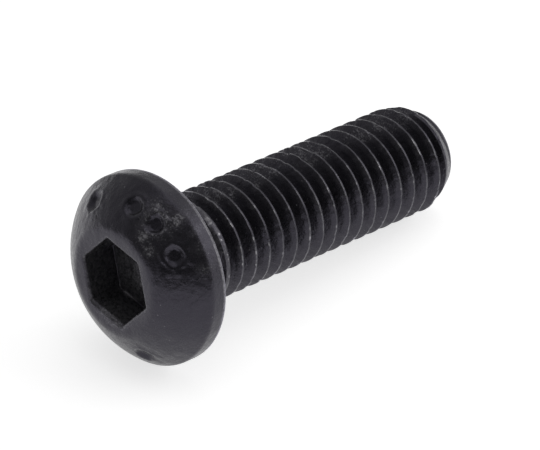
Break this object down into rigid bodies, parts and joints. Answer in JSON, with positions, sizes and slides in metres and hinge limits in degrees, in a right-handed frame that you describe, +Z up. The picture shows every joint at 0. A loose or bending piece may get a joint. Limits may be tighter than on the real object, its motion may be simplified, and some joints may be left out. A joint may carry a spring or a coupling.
{
  "type": "hex socket button head screw",
  "caption": "Black steel machine screw with a low domed head, a hexagon socket and a fully threaded shank, lying on its side.",
  "frame": {"origin": "middle of the lying screw's footprint box, on the surface it lies on", "axes": "+X from the head to the point, +Z up; the screw's own axis dips 6.8 degrees towards the point"},
  "size_m": [0.0236, 0.0104, 0.0105],
  "materials": {
    "black_steel": "black oxide on steel, satin, slightly oily, scuffed on the thread crests"
  },
  "bodies": {
    "root": {"screw": "black_steel"}
  },
  "joints": []
}
